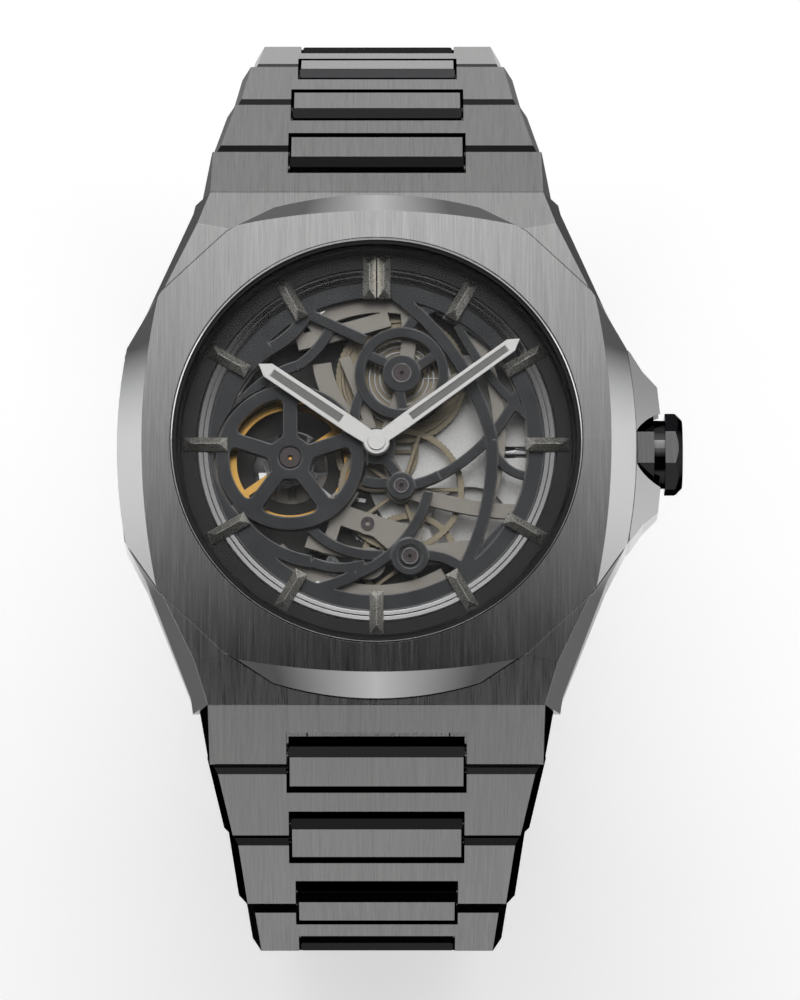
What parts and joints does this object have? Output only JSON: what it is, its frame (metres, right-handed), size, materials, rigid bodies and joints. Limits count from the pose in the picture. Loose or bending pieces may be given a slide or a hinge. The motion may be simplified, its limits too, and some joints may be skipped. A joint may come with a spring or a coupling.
{
  "type": "wristwatch",
  "caption": "Wristwatch with an octagonal bezel, a skeleton dial over an automatic movement, and a tapered link bracelet closed by a folding clasp.",
  "frame": {"origin": "centre of the case back's flat outer face, which lies against the wrist", "axes": "+Z out of the dial, +Y towards 12 o'clock, +X towards 3 o'clock and the crown"},
  "size_m": [0.0452, 0.0773, 0.0593],
  "materials": {
    "brushed_case": "gunmetal coated, brushed",
    "brushed_bezel": "gunmetal coated, brushed face and polished bevel",
    "brushed_link": "gunmetal coated, brushed lengthwise",
    "brushed_clasp": "gunmetal coated, brushed",
    "blade_steel": "gunmetal coated, satin",
    "polished_steel": "polished",
    "crown_steel": "gunmetal coated, brushed facets",
    "crystal_glass": "clear, polished",
    "gasket_rubber": "matt",
    "black_flange": "black, satin",
    "marker_steel": "warm grey, satin",
    "hand_steel": "light grey, satin",
    "lattice_black": "dark gunmetal, satin",
    "plate_grey": "warm grey, sandblasted",
    "plate_silver": "silver, sandblasted",
    "wheel_brass": "satin",
    "balance_gold": "gilt, polished",
    "spring_steel": "polished",
    "rotor_steel": "radially brushed",
    "ruby": "red, polished",
    "screw_steel": "polished"
  },
  "bodies": {
    "case": {"case_middle": "brushed_case", "bezel": "brushed_bezel", "crystal": "crystal_glass", "crystal_gasket": "gasket_rubber", "rehaut": "black_flange", "hour_markers": "marker_steel", "case_back_ring": "brushed_case", "case_back_glass": "crystal_glass", "case_back_gasket": "gasket_rubber", "case_back_screws": "screw_steel", "crown_tube": "polished_steel", "movement_ring": "plate_silver", "main_plate": "plate_silver", "bridge_plates": "plate_grey", "skeleton_dial": "lattice_black", "balance_bridge": "lattice_black", "automatic_bridge": "plate_grey", "rotor_bearing": "polished_steel", "jewels": "ruby", "movement_screws": "screw_steel", "end_link_12": "brushed_case", "end_link_6": "brushed_case"},
    "link_12_1": {"link_12_1": "brushed_link"},
    "link_12_2": {"link_12_2": "brushed_link"},
    "link_12_3": {"link_12_3": "brushed_link"},
    "link_12_4": {"link_12_4": "brushed_link"},
    "link_12_5": {"link_12_5": "brushed_link"},
    "link_12_6": {"link_12_6": "brushed_link"},
    "link_12_7": {"link_12_7": "brushed_link"},
    "link_12_8": {"link_12_8": "brushed_link"},
    "link_12_9": {"link_12_9": "brushed_link"},
    "link_6_1": {"link_6_1": "brushed_link"},
    "link_6_2": {"link_6_2": "brushed_link"},
    "link_6_3": {"link_6_3": "brushed_link"},
    "link_6_4": {"link_6_4": "brushed_link"},
    "link_6_5": {"link_6_5": "brushed_link"},
    "link_6_6": {"link_6_6": "brushed_link"},
    "link_6_7": {"link_6_7": "brushed_link"},
    "link_6_8": {"link_6_8": "brushed_link"},
    "link_6_9": {"link_6_9": "brushed_link"},
    "clasp_cover": {"clasp_cover": "brushed_clasp"},
    "clasp_outer_blade": {"clasp_outer_blade": "blade_steel"},
    "clasp_inner_blade": {"clasp_inner_blade": "blade_steel"},
    "clasp_pusher_right": {"clasp_pusher_right": "polished_steel"},
    "clasp_pusher_left": {"clasp_pusher_left": "polished_steel"},
    "winding_pinion": {"winding_pinion": "polished_steel"},
    "crown": {"crown": "crown_steel", "winding_stem": "polished_steel"},
    "minute_hand": {"minute_hand": "hand_steel"},
    "hour_hand": {"hour_hand": "hand_steel"},
    "fourth_wheel": {"fourth_wheel": "wheel_brass"},
    "third_wheel": {"third_wheel": "wheel_brass"},
    "centre_wheel": {"centre_wheel": "wheel_brass"},
    "barrel": {"barrel": "wheel_brass", "mainspring": "spring_steel"},
    "escape_wheel": {"escape_wheel": "spring_steel"},
    "pallet_fork": {"pallet_fork": "spring_steel"},
    "balance": {"balance_wheel": "balance_gold", "hairspring": "spring_steel"},
    "rotor": {"rotor": "rotor_steel"}
  },
  "joints": [
    {"name": "link_12_1_hinge", "type": "hinge", "parent": "case", "child": "link_12_1", "pos_m": [0, 0.02374, 0.00257], "axis": [-1, 0, 0], "range_deg": [-1, 0]},
    {"name": "link_12_2_hinge", "type": "hinge", "parent": "link_12_1", "child": "link_12_2", "pos_m": [0, 0.0288, -0.00198], "axis": [-1, 0, 0], "range_deg": [-7, 0]},
    {"name": "link_12_3_hinge", "type": "hinge", "parent": "link_12_2", "child": "link_12_3", "pos_m": [0, 0.03326, -0.00711], "axis": [-1, 0, 0], "range_deg": [-12.5, 0]},
    {"name": "link_12_4_hinge", "type": "hinge", "parent": "link_12_3", "child": "link_12_4", "pos_m": [0, 0.0365, -0.01309], "axis": [-1, 0, 0], "range_deg": [-17.5, 0]},
    {"name": "link_12_5_hinge", "type": "hinge", "parent": "link_12_4", "child": "link_12_5", "pos_m": [0, 0.0378, -0.01976], "axis": [-1, 0, 0], "range_deg": [-21.5, 0]},
    {"name": "link_12_6_hinge", "type": "hinge", "parent": "link_12_5", "child": "link_12_6", "pos_m": [0, 0.03656, -0.02645], "axis": [-1, 0, 0], "range_deg": [-18, 0]},
    {"name": "link_12_7_hinge", "type": "hinge", "parent": "link_12_6", "child": "link_12_7", "pos_m": [0, 0.03332, -0.03242], "axis": [-1, 0, 0], "range_deg": [-13, 0]},
    {"name": "link_12_8_hinge", "type": "hinge", "parent": "link_12_7", "child": "link_12_8", "pos_m": [0, 0.02881, -0.03752], "axis": [-1, 0, 0], "range_deg": [-10.5, 0]},
    {"name": "link_12_9_hinge", "type": "hinge", "parent": "link_12_8", "child": "link_12_9", "pos_m": [0, 0.02345, -0.0417], "axis": [-1, 0, 0], "range_deg": [-10.5, 0]},
    {"name": "link_6_1_hinge", "type": "hinge", "parent": "case", "child": "link_6_1", "pos_m": [0, -0.02374, 0.00257], "axis": [1, 0, 0], "range_deg": [-1, 0]},
    {"name": "link_6_2_hinge", "type": "hinge", "parent": "link_6_1", "child": "link_6_2", "pos_m": [0, -0.0288, -0.00198], "axis": [1, 0, 0], "range_deg": [-3, 0]},
    {"name": "link_6_3_hinge", "type": "hinge", "parent": "link_6_2", "child": "link_6_3", "pos_m": [0, -0.03361, -0.00679], "axis": [1, 0, 0], "range_deg": [-21, 0]},
    {"name": "link_6_4_hinge", "type": "hinge", "parent": "link_6_3", "child": "link_6_4", "pos_m": [0, -0.03637, -0.013], "axis": [1, 0, 0], "range_deg": [-32, 0]},
    {"name": "link_6_5_hinge", "type": "hinge", "parent": "link_6_4", "child": "link_6_5", "pos_m": [0, -0.03543, -0.01973], "axis": [1, 0, 0], "range_deg": [-2, 0]},
    {"name": "link_6_6_hinge", "type": "hinge", "parent": "link_6_5", "child": "link_6_6", "pos_m": [0, -0.03425, -0.02643], "axis": [1, 0, 0], "range_deg": [-2, 0]},
    {"name": "link_6_7_hinge", "type": "hinge", "parent": "link_6_6", "child": "link_6_7", "pos_m": [0, -0.03283, -0.03308], "axis": [1, 0, 0], "range_deg": [-18.5, 0]},
    {"name": "link_6_8_hinge", "type": "hinge", "parent": "link_6_7", "child": "link_6_8", "pos_m": [0, -0.02938, -0.03894], "axis": [1, 0, 0], "range_deg": [-25, 0]},
    {"name": "link_6_9_hinge", "type": "hinge", "parent": "link_6_8", "child": "link_6_9", "pos_m": [0, -0.02378, -0.04279], "axis": [1, 0, 0], "range_deg": [-15, 0]},
    {"name": "clasp_cover_hinge", "type": "hinge", "parent": "link_6_9", "child": "clasp_cover", "pos_m": [0, -0.01737, -0.04506], "axis": [1, 0, 0], "range_deg": [-4.5, 0]},
    {"name": "outer_blade_hinge", "type": "hinge", "parent": "clasp_cover", "child": "clasp_outer_blade", "pos_m": [0, 0.01055, -0.0459], "axis": [-1, 0, 0], "range_deg": [0, 60]},
    {"name": "inner_blade_hinge", "type": "hinge", "parent": "clasp_outer_blade", "child": "clasp_inner_blade", "pos_m": [0, -0.01189, -0.04492], "axis": [1, 0, 0], "range_deg": [0, 60]},
    {"name": "clasp_pusher_right_press", "type": "slide", "parent": "clasp_cover", "child": "clasp_pusher_right", "axis": [-1, 0, 0], "range_m": [0, 0.0005], "stiffness_N_per_m": 400, "springref_m": -0.0005},
    {"name": "clasp_pusher_left_press", "type": "slide", "parent": "clasp_cover", "child": "clasp_pusher_left", "axis": [1, 0, 0], "range_m": [0, 0.0005], "stiffness_N_per_m": 400, "springref_m": -0.0005},
    {"name": "crown_turn", "type": "hinge", "parent": "case", "child": "winding_pinion", "pos_m": [0, 0, 0.0037], "axis": [1, 0, 0], "continuous": true},
    {"name": "crown_pull", "type": "slide", "parent": "winding_pinion", "child": "crown", "axis": [1, 0, 0], "range_m": [0, 0.0012]},
    {"name": "minute_hand_turn", "type": "hinge", "parent": "case", "child": "minute_hand", "pos_m": [0, 0, 0.005], "axis": [0, 0, 1], "continuous": true},
    {"name": "hour_hand_turn", "type": "hinge", "parent": "case", "child": "hour_hand", "pos_m": [0, 0, 0.005], "axis": [0, 0, 1], "continuous": true},
    {"name": "fourth_wheel_turn", "type": "hinge", "parent": "case", "child": "fourth_wheel", "pos_m": [0.00266, -0.009, 0.005], "axis": [0, 0, 1], "continuous": true},
    {"name": "third_wheel_turn", "type": "hinge", "parent": "case", "child": "third_wheel", "pos_m": [0.00197, -0.00327, 0.005], "axis": [0, 0, 1], "continuous": true},
    {"name": "centre_wheel_turn", "type": "hinge", "parent": "case", "child": "centre_wheel", "pos_m": [0, 0, 0.005], "axis": [0, 0, 1], "continuous": true},
    {"name": "barrel_turn", "type": "hinge", "parent": "case", "child": "barrel", "pos_m": [0.002, 0.0059, 0.005], "axis": [0, 0, 1], "continuous": true},
    {"name": "escape_wheel_turn", "type": "hinge", "parent": "case", "child": "escape_wheel", "pos_m": [-0.00071, -0.00618, 0.005], "axis": [0, 0, 1], "continuous": true},
    {"name": "pallet_fork_swing", "type": "hinge", "parent": "case", "child": "pallet_fork", "pos_m": [-0.00294, -0.00432, 0.005], "axis": [0, 0, 1], "range_deg": [-5, 5]},
    {"name": "balance_swing", "type": "hinge", "parent": "case", "child": "balance", "pos_m": [-0.0069, -0.001, 0.005], "axis": [0, 0, 1], "range_deg": [-150, 150], "stiffness_Nm_per_rad": 0.0000008},
    {"name": "rotor_turn", "type": "hinge", "parent": "case", "child": "rotor", "pos_m": [0, 0, 0.005], "axis": [0, 0, 1], "continuous": true}
  ],
  "couplings": [
    {"joint": "hour_hand_turn", "follows": "minute_hand_turn", "ratio": 0.083333},
    {"joint": "third_wheel_turn", "follows": "fourth_wheel_turn", "ratio": -0.13333},
    {"joint": "centre_wheel_turn", "follows": "fourth_wheel_turn", "ratio": 0.016667},
    {"joint": "barrel_turn", "follows": "fourth_wheel_turn", "ratio": -0.0027778},
    {"joint": "escape_wheel_turn", "follows": "fourth_wheel_turn", "ratio": -10},
    {"joint": "inner_blade_hinge", "follows": "outer_blade_hinge", "ratio": 1}
  ]
}
